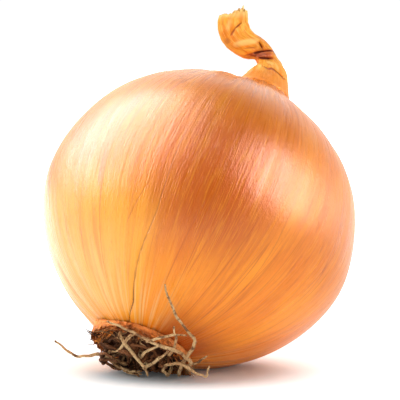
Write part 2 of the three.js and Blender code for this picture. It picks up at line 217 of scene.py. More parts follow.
# How each finish catches light: lowest and highest roughness, index of refraction, and the depth and
# strength of its fine relief
SKIN_GLOSS = (0.25, 0.37, 1.39, 0.26 * MM, 0.55)
TORN_GLOSS = (0.55, 0.8, 1.3, 0.25 * MM, 0.8)
NECK_GLOSS = (0.42, 0.6, 1.4, 0.35 * MM, 0.8)
ROOT_GLOSS = (0.7, 0.9, 1.25, 0.2 * MM, 0.8)
PLATE_GLOSS = (0.75, 0.95, 1.25, 0.5 * MM, 1.0)

# The layers of torn skin round the root plate: name; ring, top, shortest and longest tear and flare in
# millimetres; seed of the tears; and whether it has the wide side
TORN_LAYERS = [
    ("torn_skin_outer", (11.9, -34.7, 1.4, 3.0, 1.6), 2.0, 1.0),
    ("torn_skin_inner", (11.3, -34.9, 1.5, 3.2, 0.9), 5.0, 0.0),
]
TORN_COLUMNS = 240
TORN_ROWS = 6
TORN_WALL = 0.16 * MM
TORN_WAVE = 0.22 * MM
TORN_CRUMPLE = (0.9 * MM, 0.35 * MM)
# On one side the outer layer starts wider and higher, hangs longer and closes in
WIDE_SIDE = math.radians(-164)
WIDE_RING = 1.8 * MM
WIDE_RISE = 0.65 * MM
WIDE_LENGTH = 1.5 * MM
WIDE_CLOSING = 0.4 * MM

# Small flakes of skin: their rings as radius and height, and their ranges in millimetres and degrees
FLAKE_COUNT = 130
FLAKE_RINGS = [(11.9, -35.0), (11.6, -35.3), (11.2, -35.7), (10.7, -36.1), (10.0, -36.5)]
FLAKE_LENGTH = (1.0, 2.8)
FLAKE_WIDTH = (0.7, 1.8)
FLAKE_FLARE = (-12, 38)
FLAKE_TWIST = (-25, 25)
FLAKE_CRUMPLE = (0.8 * MM, 0.3 * MM)

# The root plate: its outline as radius and height, in millimetres
PLATE_TOP = -34.9 * MM
PLATE_PROFILE = [(11.1, -34.9), (11.1, -35.6), (10.4, -36.2), (8.8, -36.9), (6, -37.6), (2.8, -38.0)]
PLATE_STEP = 0.45 * MM
PLATE_COLUMNS = 150
PLATE_LUMPS = (2.2 * MM, 1.1 * MM)
PLATE_GRAIN = (0.6 * MM, 0.45 * MM)

# The dry roots: half thickness and route, in millimetres
LONG_ROOTS = [
    (0.62, [(-4, 2.5, -37), (-5.4, 2, -39.6), (-6.8, -0.6, -40.2), (-8.8, -2.6, -40), (-11.1, -2.7, -40),
            (-15.4, -0.9, -40), (-20.4, 0.1, -40), (-21.6, -2.9, -40), (-21.9, -7.5, -40)]),
    (0.6, [(7, 6, -36.6), (9.4, 5, -39.6), (13.6, -0.2, -40.3), (17.3, -4.1, -39.2), (20, -6.2, -37.2),
           (20.7, -7.6, -35.6), (19.3, -10, -34.4), (17.9, -13.7, -32.9), (17.6, -17.8, -30.8),
           (17.5, -21.4, -28.5)]),
    (0.62, [(10, 3, -36.4), (14, 2.8, -38.9), (17.5, -2.5, -38.9), (17.2, -6.5, -38.9), (13.2, -9.2, -39),
            (10.6, -12, -39), (8, -15, -38.8), (5, -17, -38.4), (1.6, -17.9, -38)]),
    (0.66, [(1, -9.8, -36.4), (2, -12.4, -38.6), (3.2, -10.4, -40.2), (3.8, -6.8, -41), (5.5, -4.3, -42.4),
            (5.7, -1.4, -43.6)]),
    (0.55, [(4.5, -10, -36.4), (5.6, -12.6, -38.7), (4.4, -12, -40), (1.8, -9.7, -40.3), (-3.2, -5.7, -40.1),
            (-7.4, -3, -39.5)]),
    (0.62, [(1.5, -3, -37.2), (3.2, -3.9, -40), (7, -7.1, -40.1), (13.4, -9.8, -38.9)]),
    (0.68, [(0.5, 1.5, -37.2), (2.8, -0.4, -41.2), (6.4, -2.7, -41.1), (9.9, -5, -40.5),
            (14.6, -7.9, -39.2)]),
    (0.5, [(6.5, 4.5, -36.6), (8.3, 2.4, -41.2), (9.3, -1.1, -41.6), (11.4, -3.1, -41), (14.9, -3.8, -40.5),
           (16.8, -2.6, -40.5), (17.9, 1.6, -40.3), (18.8, 3.6, -39.8), (19.7, 2.2, -37.5)]),
    (0.55, [(9, -2, -36.6), (12.3, -4.6, -38.9), (15, -6.8, -38.3), (16.6, -9.4, -36.4), (17.3, -12.4, -35)]),
    (0.5, [(7, -8, -36.6), (9.8, -10.9, -38.9), (13.6, -11.6, -38), (16.6, -10.4, -36.2), (18.4, -8.2, -35)]),
    (0.5, [(10.6, 1, -36.2), (13.5, 1, -38.9), (16.9, 0.7, -37.8), (19.3, 0.5, -35.8)]),
    (0.6, [(-5.2, 1.5, -36.6), (-7.2, 2, -38.8), (-7.8, 3.4, -39.3), (-7.2, 4, -40.1), (-5.0, 3.1, -41),
           (-1.7, 1.7, -41.9), (0.6, 1.4, -41.4)]),
]
# Thinner roots that lie along the low side of the tuft
LOW_ROOTS = [
    (0.5, [(-8, -1.5, -37.5), (-10.4, -1.6, -39.6), (-8.4, 0.4, -40.4), (-5.4, 1.2, -41.4),
           (-2.8, 1.6, -42.2), (0.6, 1.6, -42.8)]),
    (0.45, [(-7, 0, -37.5), (-9.2, -0.4, -39.8), (-6.6, 1.6, -41.0), (-3.6, 2.4, -41.4), (-0.6, 2.2, -42.0),
            (1.8, 0.6, -42.6)]),
    (0.42, [(-6, 1, -38), (-7.6, 1.4, -40.6), (-4.6, 0.4, -41.6), (-1.4, 0.2, -42.4), (1.2, -0.8, -42.6)]),
]
LONG_ROOT_SHARE = 0.76
LONG_ROOT_TIP = 0.5
ROOT_KINK = 0.18
ROOT_WRINKLES = (0.7 * MM, 0.22 * MM)

# The short roots that wander over the plate, in millimetres and radians
SHORT_ROOTS = 22
SHORT_ROOT_SHARE = 0.9
SHORT_ROOT_TIP = 0.62
SHORT_ROOT_SEED = 11
SHORT_ROOT_THICK = (0.42, 0.6)
SHORT_ROOT_LENGTH = (6, 13)
SHORT_ROOT_STEP = 2.2
SHORT_ROOT_SPREAD = 10.8
SHORT_ROOT_FOOT = -36.4
SHORT_ROOT_TOP = -39.4
SHORT_ROOT_DROP = 2.8
SHORT_ROOT_REACH = 8.6
SHORT_ROOT_TURN = 0.7
SHORT_ROOT_END = 11.8
SHORT_ROOT_LEFT_END = -24.5
# On this side of the plate they turn back at their reach and stop at their end
OPEN_SIDE = math.radians(-100)
OPEN_HALF_ANGLE = math.radians(130)
# The room of the torn skin, which they stay out of: inner and outer radius, and lowest height
COLLAR_CLEAR = (11.6, 17.4, -38.7)
ROOT_SKIN_GAP = 1.2
ROOT_TABLE_GAP = 0.35
# From one root to the next round the plate, so that they spread evenly
GOLDEN_ANGLE = math.pi * (3 - math.sqrt(5))

# The dark stumps of old roots, every second one on the low side of the plate, in millimetres
OLD_ROOTS = 90
OLD_ROOT_SPREAD = 10.5
OLD_ROOT_FOOT = -36.3
OLD_ROOT_DOME = 0.12
OLD_ROOT_LOW_SIDE = math.pi / 2
OLD_ROOT_LOW_PATCH = ((-8, 3), (1, 5))
OLD_ROOT_LOW_FOOT = -37.6
OLD_ROOT_THICK = (0.32, 0.55)
OLD_ROOT_TIP = 0.7
OLD_ROOT_FIRST_DROP = (-2.4, -1.2)
OLD_ROOT_DROP = (-1.0, 0.5)
OLD_ROOT_WRINKLES = (0.6 * MM, 0.25 * MM)

# Fine fibres that hang from the plate and from the torn skin round it, in millimetres
FIBRE_COUNT = 110
FIBRE_RING = (2, 12.6)
FIBRE_ON_PLATE = 11.5
FIBRE_PLATE_FOOT = -36.2
FIBRE_SKIN_FOOT = -35.4
FIBRE_THICK = (0.1, 0.2)
FIBRE_TIP = 0.4
FIBRE_FIRST_DROP = -1.7
FIBRE_DROP = (-0.9, 0.5)

# How old roots and fibres wander: spread of the first heading, fewest and most steps, turn at each step,
# length of a step, gap to the table and reach from the middle
OLD_ROOT_WALK = (1.2, (2, 4), 0.9, 1.4, 0.9, 11.5)
FIBRE_WALK = (1.3, (2, 5), 0.7, 1.5, 0.35, 15.5)

# How the onion lies
LEAN = math.radians(35)
FLAT_DEPTH = 0.65 * MM

# How bright the room is for mirror rays, for soft light and for the camera
WALL_BEHIND = 1.4
WALL_IN_FRONT = 0.0
WALL_FADE = (-0.8, 0.2)
CEILING_GLOW = 1.9
CEILING_EDGE = (0.25, 0.7)
ROOM_LIGHT = 0.66
ROOM_SEEN = 1.05
WHITE = (1, 1, 1)
# Its bright parts: the direction, as the photographer sees it, where the part's edge begins and where it
# is full, and how bright it is. Left window, left wall, right window, right wall
BRIGHT_PARTS = [
    ((-0.68, 0.72, 0.05), 0.62, 0.88, 17.5),
    ((-0.95, 0.05, -0.3), 0.75, 0.95, 0.5),
    ((0.82, 0.43, 0.37), 0.84, 0.965, 18.5),
    ((0.95, -0.08, -0.05), 0.72, 0.97, 5.0),
]
# The soft lamps: name, direction, width and height in metres, and power
SOFTBOXES = [
    ("softbox_left", (-0.66, 0.5, 0.55), (1.2, 0.9), 1.2),
    ("softbox_right", (0.81, 0.36, 0.45), (0.3, 0.42), 0.5),
]
SOFTBOX_DISTANCE = 0.9

# The white table, which glows a little: a painted glow that is weaker round the onion and so paints its soft
# shadow
TABLE_SIZE = 6
# A little blue, against the orange light that the onion throws onto the table
TABLE_COLOUR = (0.79, 0.86, 0.90)
SHADOW_MIDDLE = (4 * MM, -9 * MM)
SHADOW_EDGE = (15 * MM, 38 * MM)
FAR_GLOW_EDGE = (40 * MM, 300 * MM)
TABLE_GLOW_NEAR = 0.02
TABLE_GLOW_MID = 0.72
TABLE_GLOW_FAR = 0.6
# A painted sheen on the table's left side, which only mirror rays see
TABLE_SHINE = 1.7
TABLE_SHINE_EDGE = (30 * MM, 100 * MM)

# Where the photograph was taken from
VIEW_AZIMUTH = math.radians(38.6)
VIEW_ELEVATION = math.radians(5)
VIEW_DISTANCE = 0.6
IMAGE_SIZE = 400
BULB_MIDDLE_PIXEL = (196.5, 224.0)
PIXELS_PER_MM = 3.97
SENSOR = 36


def bulb_radius(height):
    """Radius of the bulb at a height in its own frame, on its round part."""
    half = ROOT_HALF_HEIGHT if height < 0 else NECK_HALF_HEIGHT
    power = ROOT_ROUNDNESS if height < 0 else NECK_ROUNDNESS
    return BULB_RADIUS * max(0.0, 1 - (abs(height) / half) ** power) ** (1 / power)


def heights_to(end, half, power, rows):
    """Heights from the widest ring out to an end, closer together where the bulb turns fastest."""
    last = math.asin((abs(end) / half) ** (power / 2))
    side = math.copysign(half, end)
    return [side * math.sin(last * row / rows) ** (2 / power) for row in range(1, rows + 1)]


def lying_pose():
    """The turn that leans the bulb, and the lift that brings its flat spot to the origin."""

    def depth(height):
        return bulb_radius(height) * math.sin(LEAN) - height * math.cos(LEAN)

    lowest = max(heights_to(ROOT_CUT, ROOT_HALF_HEIGHT, ROOT_ROUNDNESS, 1000), key=depth)
    forward = bulb_radius(lowest) * math.cos(LEAN) + lowest * math.sin(LEAN)
    return Matrix.Translation((0, -forward, depth(lowest) - FLAT_DEPTH)) @ Matrix.Rotation(-LEAN, 4, "X")


LYING = lying_pose()
BULB_MIDDLE = LYING.translation


def smoothstep(value, low, high):
    share = min(1.0, max(0.0, (value - low) / (high - low)))
    return share * share * (3 - 2 * share)


def mix(low, high, share):
    return low + (high - low) * share


# Hand tools

def deselect_all():
    if bpy.context.object and bpy.context.object.mode != "OBJECT":
        bpy.ops.object.mode_set(mode="OBJECT")
    bpy.ops.object.select_all(action="DESELECT")


def take(piece):
    """Makes a piece the only selected object."""
    deselect_all()
    piece.select_set(True)
    bpy.context.view_layer.objects.active = piece


def named(name):
    piece = bpy.context.object
    piece.name = name
    piece.data.name = name
    return piece


def apply_modifier(piece, name, kind, **settings):
    take(piece)
    modifier = piece.modifiers.new(name, kind)
    for key, value in settings.items():
        setattr(modifier, key, value)
    bpy.ops.object.modifier_apply(modifier=name)


def weigh(piece, name, weight_of):
    """Paints a vertex group by a rule on the points' places."""
    group = piece.vertex_groups.new(name=name)
    for vertex in piece.data.vertices:
        weight = weight_of(vertex.co)
        if weight > 0.001:
            group.add([vertex.index], min(1.0, weight), "REPLACE")


def push(piece, name, weight_of, strength):
    """Moves the surface along its normals, by a painted weight."""
    weigh(piece, name, weight_of)
    apply_modifier(piece, name, "DISPLACE", strength=strength, mid_level=0.0, vertex_group=name)


def crinkle(piece, name, size, strength, weight_of=None):
    """Crumples the surface finely, with a cloud pattern of that size."""
    if weight_of:
        weigh(piece, name, weight_of)
    texture = bpy.data.textures.new(name, "CLOUDS")
    texture.noise_scale = size
    texture.noise_depth = 2
    apply_modifier(
        piece, name, "DISPLACE", texture=texture, texture_coords="LOCAL", strength=strength,
        mid_level=0.5, vertex_group=name if weight_of else "",
    )


def move_points(piece, new_place):
    for vertex in piece.data.vertices:
        vertex.co = new_place(vertex.co)
    piece.data.update()


def lay_down(piece, slot, material, *nodes):
    """Turns a finished piece from the bulb's frame to where it lies, and gives it its finish."""
    take(piece)
    piece.matrix_world = LYING
    bpy.ops.object.transform_apply(location=True, rotation=True, scale=True)
    bpy.ops.object.shade_smooth()
    piece.data.materials.clear()
    piece.data.materials.append(material)
    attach(piece, "root")
    if nodes:
        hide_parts(*nodes)


def spin_outline(name, outline, columns):
    """A closed round piece, spun from (radius, height) points that start and end on the axis."""
    deselect_all()
    first = Vector((outline[0][0], 0, outline[0][1]))
    bpy.ops.mesh.primitive_plane_add(size=MM, location=first)
    piece = named(name)
    bpy.ops.object.transform_apply(location=True, rotation=True, scale=True)
    bpy.ops.object.mode_set(mode="EDIT")
    bpy.ops.mesh.merge(type="CENTER")
    last = first
    for radius, height in outline[1:]:
        place = Vector((radius, 0, height))
        bpy.ops.mesh.extrude_region_move(TRANSFORM_OT_translate={"value": place - last})
        last = place
    bpy.ops.mesh.select_all(action="SELECT")
    bpy.ops.mesh.spin(steps=columns, angle=2 * math.pi, center=(0, 0, 0), axis=(0, 0, 1))
    bpy.ops.mesh.select_all(action="SELECT")
    bpy.ops.mesh.remove_doubles(threshold=0.002 * MM)
    bpy.ops.mesh.normals_make_consistent(inside=False)
    bpy.ops.object.mode_set(mode="OBJECT")
    return piece


# Shader tools

class Socket:
    """A shader socket that takes part in Python arithmetic."""

    def __init__(self, finish, output):
        self.finish = finish
        self.output = output

    def math(self, operation, first, second=0.0):
        return self.finish.node("ShaderNodeMath", {"operation": operation}, {0: first, 1: second})["Value"]

    def __add__(self, other):
        return self.math("ADD", self, other)

    def __radd__(self, other):
        return self.math("ADD", other, self)

    def __sub__(self, other):
        return self.math("SUBTRACT", self, other)

    def __rsub__(self, other):
        return self.math("SUBTRACT", other, self)

    def __mul__(self, other):
        return self.math("MULTIPLY", self, other)

    def __rmul__(self, other):
        return self.math("MULTIPLY", other, self)

    def __truediv__(self, other):
        return self.math("DIVIDE", self, other)

    def __rtruediv__(self, other):
        return self.math("DIVIDE", other, self)

    def __pow__(self, other):
        return self.math("POWER", self, other)

    def __rpow__(self, other):
        return self.math("POWER", other, self)


class Outputs:
    """The outputs of a node, by name."""

    def __init__(self, finish, node):
        self.finish = finish
        self.node = node

    def __getitem__(self, name):
        found = [output for output in self.node.outputs if name in (output.identifier, output.name)]
        return Socket(self.finish, found[0])


class Finish:
    """The nodes of a new material, or of the world, and the tools that build them."""

    def __init__(self, owner):
        self.owner = owner
        self.owner.use_nodes = True
        self.tree = self.owner.node_tree
        self.tree.nodes.clear()

    def node(self, kind, settings=None, sockets=None):
        made = self.tree.nodes.new(kind)
        for key, value in (settings or {}).items():
            setattr(made, key, value)
        for key, value in (sockets or {}).items():
            self.feed(made, key, value)
        return Outputs(self, made)

    def feed(self, node, key, value):
        by_name = [socket for socket in node.inputs if key in (socket.identifier, socket.name)]
        socket = node.inputs[key] if isinstance(key, int) else by_name[0]
        if isinstance(value, Socket):
            self.tree.links.new(value.output, socket)
        elif socket.type == "RGBA":
            socket.default_value = (*value, 1.0)
        else:
            socket.default_value = value

    def place(self):
        return self.node("ShaderNodeTexCoord")["Object"]

    def mapped(self, vector, location, rotation, scale):
        sockets = {"Vector": vector, "Location": location, "Rotation": rotation, "Scale": scale}
        return self.node("ShaderNodeMapping", {"vector_type": "POINT"}, sockets)["Vector"]

    def split(self, vector):
        parts = self.node("ShaderNodeSeparateXYZ", None, {"Vector": vector})
        return parts["X"], parts["Y"], parts["Z"]

    def join(self, x, y, z):
        return self.node("ShaderNodeCombineXYZ", None, {"X": x, "Y": y, "Z": z})["Vector"]

    def noise(self, vector, scale, detail, roughness=0.5):
        sockets = {"Vector": vector, "Scale": scale, "Detail": detail, "Roughness": roughness}
        return self.node("ShaderNodeTexNoise", {"noise_dimensions": "3D"}, sockets)["Fac"]

    def step(self, value, low, high, start=0.0, end=1.0):
        """A smooth change from start to end while value goes from low to high."""
        sockets = {"Value": value, "From Min": low, "From Max": high, "To Min": start, "To Max": end}
        return self.node("ShaderNodeMapRange", {"interpolation_type": "SMOOTHSTEP"}, sockets)["Result"]

    def size_of(self, value):
        """A value without its sign."""
        return self.node("ShaderNodeMath", {"operation": "ABSOLUTE"}, {0: value})["Value"]

    def blend(self, share, first, second):
        sockets = {"Factor_Float": share, "A_Color": first, "B_Color": second}
        settings = {"data_type": "RGBA", "blend_type": "MIX", "clamp_factor": True}
        return self.node("ShaderNodeMix", settings, sockets)["Result_Color"]

    def layers(self, base, layers):
        """Lays colours over a base, one after another, each with the share that covers it."""
        for share, tone in layers:
            base = self.blend(share, base, tone)
        return base

    def surface(self, base, grain, relief, gloss):
        """Ends a material with its colours, its roughness by a grain, and its fine relief."""
        smooth, rough, refraction, depth, strength = gloss
        bump = self.node("ShaderNodeBump", None, {"Height": relief, "Distance": depth, "Strength": strength})
        shader = self.node("ShaderNodeBsdfPrincipled", None, {
            "Base Color": base,
            "Roughness": self.step(grain, 0.3, 0.7, smooth, rough),
            "IOR": refraction,
            "Normal": bump["Normal"],
        })
        self.node("ShaderNodeOutputMaterial", None, {"Surface": shader["BSDF"]})
        return self.owner


def new_finish(name):
    return Finish(bpy.data.materials.new(name))


def bulb_place(finish):
    """Place in the bulb's own frame, in millimetres."""
    turn = Matrix.Rotation(LEAN, 4, "X")
    offset = (turn @ BULB_MIDDLE) / -MM
    return finish.mapped(finish.place(), offset, (LEAN, 0, 0), (1 / MM,) * 3)


# Finishes

def seam_azimuth(height, step):
    """Where the split seam runs, by height in millimetres; step is a smoothstep for numbers or sockets."""
    sway = step(height, SEAM_SWAY_LOW, SEAM_SWAY_HIGH) * SEAM_SWAY
    foot = step(height, SEAM_FOOT_LOW, SEAM_FOOT_HIGH) * SEAM_FOOT_TURN
    return sway + foot + (SEAM_START - SEAM_FOOT_TURN)


def skin_finish():
    """Orange and amber fibres from root to neck, a golden and a pale side; painted shade on the front, the
    top and in red by the roots.
    """
    finish = new_finish("onion_skin")
    step = finish.step
    x, y, height = finish.split(bulb_place(finish))
    radius = (x * x + y * y) ** 0.5
    wrap = 1 / (radius + 0.001)
    around_x = x * wrap
    around_y = y * wrap
    azimuth = finish.node("ShaderNodeMath", {"operation": "ARCTAN2"}, {0: y, 1: x})["Value"]

    def fibre_noise(count, rise, detail, roughness=0.6):
        """A pattern drawn out from root to neck: finer with a higher count, shorter with a higher rise."""
        place = finish.join(around_x * count, around_y * count, height * rise)
        return finish.noise(place, 1.0, detail, roughness)

    def towards(side):
        """How far a place lies towards a side of the bulb, from -1 to 1."""
        return around_x * math.cos(side) + around_y * math.sin(side)

    def thin_lines(pattern, inner, outer, strength=1.0):
        """Lines where a pattern passes through its middle."""
        return step(finish.size_of(pattern - 0.5), inner, outer, strength, 0.0)

    broad = fibre_noise(2.6, 0.05, 3.0, 0.55)
    streaks = fibre_noise(11.0, 0.035, 3.0)
    fibres = fibre_noise(42.0, 0.04, 3.0)
    fine = fibre_noise(130.0, 0.12, 2.0)
    speckle = fibre_noise(60.0, 0.9, 2.0, 0.7)
    blotches = fibre_noise(17.0, 0.13, 4.0, 0.65)
    wander = (broad - 0.5) * 0.5

    golden = step(towards(GOLDEN_SIDE) + wander * 0.25, 0.47, 0.60) * step(height + wander * 16, -2, -15)
    # Painted shade: a darker, browner band from below the widest ring upwards, standing for weaker soft light
    # under the highlights
    upper_shade = step(height, -18, -3) * step(height, 4, 20, 0.33, 0.04)
    # Painted shade on the side that faces the front, standing for the dark room mirrored there
    front_shade = step(towards(FRONT_SHADE_SIDE), 0.86, 1.0) * step(height, -27, -11) * step(height, 2, 24, 1.0, 0.35)
    red_side = step(towards(RED_SIDE) + wander * 0.3, 0.78, 0.94)
    # Painted shade by the root plate, in dark red
    red_root_shade = step(height, -34.5, -28, 1.0, 0.0) * red_side
    pale_side = step(towards(PALE_SIDE), 0.7, 0.96)
    pale_end = pale_side * step(height + wander * 8, -15, -27) * step(height, -35, -31)
    pale_ribs = step(height, -35, -22, 1.0, 0.0) * (1 - red_side) * step(fibres, 0.5, 0.58)
    rim = step(height + (fibres - 0.5) * 1.6, -35.1, -34.5, 1.0, 0.0)
    split = finish.size_of((azimuth - seam_azimuth(height, step)) * radius)
    seam = step(split, 0.1, 0.3, 1.0, 0.0) * step(height, 0, 12, 1.0, 0.0)

    lines = thin_lines(fibre_noise(7.0, 0.012, 1.0), 0.003, 0.011)
    lines = lines * step(fibre_noise(5.0, 0.02, 1.0), 0.48, 0.6)
    finer_lines = thin_lines(fibre_noise(13.0, 0.010, 1.0), 0.005, 0.016, 0.6)
    lines = lines + finer_lines * step(fibre_noise(4.0, 0.03, 1.0), 0.45, 0.58)
    for foot, low, crown, high, strength in SKIN_VEINS:
        slope = math.radians((crown - foot) / (high - low))
        gap = finish.size_of((azimuth - (height - low) * slope - math.radians(foot)) * radius)
        ends = step(height, low - 2, low + 2) * step(height, high - 3, high + 3, strength, 0.0)
        lines = lines + step(gap, 0.07, 0.22, 1.0, 0.0) * ends

    base = finish.layers(SKIN_ORANGE, [
        (step(broad, 0.35, 0.65), SKIN_AMBER),
        (golden * 0.9, SKIN_GOLD),
        (pale_end * 0.4, SKIN_PALE),
        # Painted shade over the upper half
        (upper_shade, SKIN_TAN_AND_SHADE),
        # Painted shade on the side that faces the front
        (front_shade * 0.9, SKIN_TAN_AND_SHADE),
        (step(streaks, 0.5, 0.75) * 0.42, SKIN_TAN_AND_SHADE),
        (step(streaks, 0.5, 0.3) * 0.2, SKIN_GOLD),
        (step(fibres, 0.52, 0.7) * (0.42 - golden * 0.22), SKIN_BROWN),
        (step(fine, 0.5, 0.32) * 0.3, SKIN_GOLD),
        (step(speckle, 0.55, 0.75) * 0.22, SKIN_TAN_AND_SHADE),
        (step(blotches, 0.5, 0.7) * 0.2, SKIN_TAN_AND_SHADE),
        (step(blotches, 0.48, 0.3) * 0.15, SKIN_GOLD),
        # Painted shade in dark red by the root plate
        (red_root_shade * 0.75, SKIN_RED),
        (pale_ribs * 0.6, SKIN_PALE),
        (rim * 0.35, SKIN_RED),
        (seam * step(height, -33, -26, 0.8, 0.34), SKIN_DARK),
        (lines * 0.55, SKIN_BROWN),
    ])
    relief = fibres * 0.5 + fine * 0.5 + speckle * 0.6 + blotches * 0.2 + streaks * 0.3
    relief = relief - lines * 0.1 - seam * step(height, -24, -12, 0.8, 0.1)
    return finish.surface(base, fibres, relief, SKIN_GLOSS)


def torn_finish():
    """The frayed ends of the skin round the root plate, dull and darker than the skin."""
    finish = new_finish("torn_skin")
    step = finish.step
    height = finish.split(bulb_place(finish))[2]
    place = finish.place()
    patches = finish.noise(place, 330.0, 3.0, 0.6)
    grain = finish.noise(place, 1600.0, 3.0, 0.6)
    base = finish.layers(TORN_RUST, [
        (step(patches, 0.42, 0.6), TORN_ORANGE),
        (step(patches, 0.42, 0.3) * 0.4, TORN_DARK),
        (step(height + (patches - 0.5) * 4, -37.2, -38.4) * 0.75, TORN_DARK),
        (step(height + (patches - 0.5) * 2, -36.6, -35.3) * 0.8, TORN_BRIGHT),
        (step(grain, 0.5, 0.7) * 0.4, TORN_DARK),
    ])
    return finish.surface(base, grain, grain + patches, TORN_GLOSS)


def neck_finish():
    """Golden paper with brown and pale fibres; painted shade darkens its creases, a painted highlight lights
    its raised folds.
    """
    finish = new_finish("neck_paper")
    step = finish.step
    x, y, share = finish.split(finish.node("ShaderNodeAttribute", {"attribute_name": "neck_way"})["Vector"])
    crease_shading = finish.node("ShaderNodeAttribute", {"attribute_name": "neck_crease_shading"})["Fac"]
    streaks = finish.noise(finish.join(x * 3.5, y * 3.5, share * 7), 1.0, 3.0, 0.6)
    fibres = finish.noise(finish.join(x * 13, y * 13, share * 5), 1.0, 3.0, 0.65)
    patches = finish.noise(finish.place(), 260.0, 2.0)
    base = finish.layers(NECK_GOLD, [
        (step(streaks, 0.42, 0.62), NECK_ORANGE),
        (step(patches, 0.55, 0.75) * 0.4, NECK_ORANGE),
        (step(fibres, 0.50, 0.68) * 0.55, NECK_BROWN),
        (step(fibres, 0.48, 0.32) * 0.5, NECK_PALE_AND_HIGHLIGHT),
        (step(share + (fibres - 0.5) * 0.1, 0.90, 1.0) * 0.8, NECK_PALE_AND_HIGHLIGHT),
        (step(share, 0.3, -0.02) * 0.8, NECK_ORANGE),
        (step(share, 0.22, -0.02) * 0.35, NECK_BROWN),
        # Painted shade: a brown band round the pinch
        (step(share, 0.42, 0.5) * step(share, 0.62, 0.56) * 0.35, NECK_BROWN),
        # Painted highlight on the raised folds, painted shade in the creases
        (step(crease_shading, -0.08, -0.5) * 0.8, NECK_PALE_AND_HIGHLIGHT),
        (step(crease_shading, 0.15, 0.6) * 0.85, NECK_RED_SHADE),
        (step(crease_shading, 0.55, 1.0) * 0.9, NECK_CREASE_SHADE),
    ])
    return finish.surface(base, fibres, fibres + streaks * 0.6, NECK_GLOSS)


def root_finish(name, tan, straw):
    """Dry roots, mottled brown over two lighter or darker tones."""
    finish = new_finish(name)
    step = finish.step
    place = finish.place()
    mottle = finish.noise(place, 700.0, 3.0, 0.6)
    grain = finish.noise(place, 2600.0, 2.0, 0.6)
    base = finish.layers(tan, [
        (step(finish.noise(place, 120.0, 1.0), 0.4, 0.6), straw),
        (step(mottle, 0.48, 0.62) * 0.75, ROOT_BROWN),
        (step(mottle, 0.56, 0.7) * 0.7, ROOT_DARK),
        (step(grain, 0.52, 0.68) * 0.6, ROOT_DARK),
    ])
    return finish.surface(base, grain, grain + mottle, ROOT_GLOSS)


def plate_finish():
    """The dark root plate, with a rusty edge."""
    finish = new_finish("root_plate")
    step = finish.step
    x, y = finish.split(bulb_place(finish))[:2]
    place = finish.place()
    lumps = finish.noise(place, 420.0, 3.0, 0.6)
    grain = finish.noise(place, 1500.0, 3.0, 0.65)
    edge = step((x * x + y * y) ** 0.5 + (lumps - 0.5) * 5, 8, 12.5)
    base = finish.layers(PLATE_DARK, [
        (step(lumps, 0.4, 0.62), PLATE_BROWN),
        (edge * 0.7, PLATE_RUST),
        (step(grain, 0.52, 0.68) * 0.6, PLATE_BLACK),
    ])
    return finish.surface(base, grain, grain + lumps, PLATE_GLOSS)


# Pieces

def catmull_rom(values, share):
    """A smooth value or place between evenly spaced stations."""
    at = share * (len(values) - 1)
    i = min(int(at), len(values) - 2)
    t = at - i
    before = values[max(i - 1, 0)]
    low, high = values[i], values[i + 1]
    after = values[min(i + 2, len(values) - 1)]
    bend = (after - before + (low - high) * 3) * t + (before * 2 - low * 5 + high * 4 - after)
    return low + (bend * t + (high - before)) * (t / 2)


def turn_of(place):
    return math.atan2(place.y, place.x)


def gap_between(first, second):
    """The angle between two directions round the bulb."""
    return abs((first - second + math.pi) % (2 * math.pi) - math.pi)


def on_ring(radius, around, height):
    """A place by its distance from the axis, its direction round it and its height."""
    return Vector((math.cos(around) * radius, math.sin(around) * radius, height))


def noise_round(around, count, along):
    """A smooth pattern round a ring, from -1 to 1: finer with a higher count."""
    return noise.noise(on_ring(count, around, along))


def bulb_outline():
    root_side = heights_to(ROOT_CUT, ROOT_HALF_HEIGHT, ROOT_ROUNDNESS, BULB_ROWS_ROOT)[::-1]
    neck_side = heights_to(SHOULDER_START, NECK_HALF_HEIGHT, NECK_ROUNDNESS, BULB_ROWS_NECK)
    heights = [*root_side, 0.0, *neck_side]
    outline = [(0.0, ROOT_CUT), (0.5 * bulb_radius(ROOT_CUT), ROOT_CUT)]
    outline += [(bulb_radius(height), height) for height in heights]
    step = (SHOULDER_TOP - SHOULDER_START) / len(SHOULDER_RADII)
    outline += [(radius, SHOULDER_START + step * (i + 1)) for i, radius in enumerate(SHOULDER_RADII)]
    return outline + [(0.0, SHOULDER_TOP)]


def uneven(place):
    around = turn_of(place)
    share = 1 + sum(part * math.cos(count * around - turn) for count, part, turn in LOBES)
    lean = smoothstep(place.z, SHOULDER_START - 4 * MM, SHOULDER_TOP)
    return Vector((place.x * share + lean * NECK_FOOT.x, place.y * share + lean * NECK_FOOT.y, place.z))


def rib_weight(place):
    """Grooves that run up from the roots and down from the neck."""
    ends = smoothstep(-place.z, -RIBS_FROM, -ROOT_CUT) + smoothstep(place.z, NECK_RIBS_FROM, SHOULDER_START)
    return ends * (1 - abs(math.cos(RIB_COUNT * turn_of(place) / 2)))


def vein_weight(place):
    """Fine raised veins all the way up, some stronger than others."""
    around = turn_of(place)
    along = place.z / MM * 0.02
    return 0.5 + 0.5 * noise_round(around, 9, along) + 0.35 * noise_round(around, 24, along + 7)


def dent_weight(place):
    """Broad shallow dents, as the fleshy layers under the skin leave them."""
    return 0.5 + 0.5 * noise.noise(place / DENT_SIZE)


def past_seam(place):
    """Distance round the bulb from the seam to a place, positive on its right side."""
    return (turn_of(place) - seam_azimuth(place.z / MM, smoothstep)) * math.hypot(place.x, place.y)


def seam_strength(place):
    """The seam runs from the roots to past the widest ring, and fades there."""
    return smoothstep(-place.z, -SEAM_TOP, -SEAM_FADES)


def seam_weight(place):
    """The crack where the outer skin has split."""
    gap = abs(past_seam(place))
    return seam_strength(place) * (1 - smoothstep(gap, 0.5 * SEAM_HALF_WIDTH, SEAM_HALF_WIDTH))


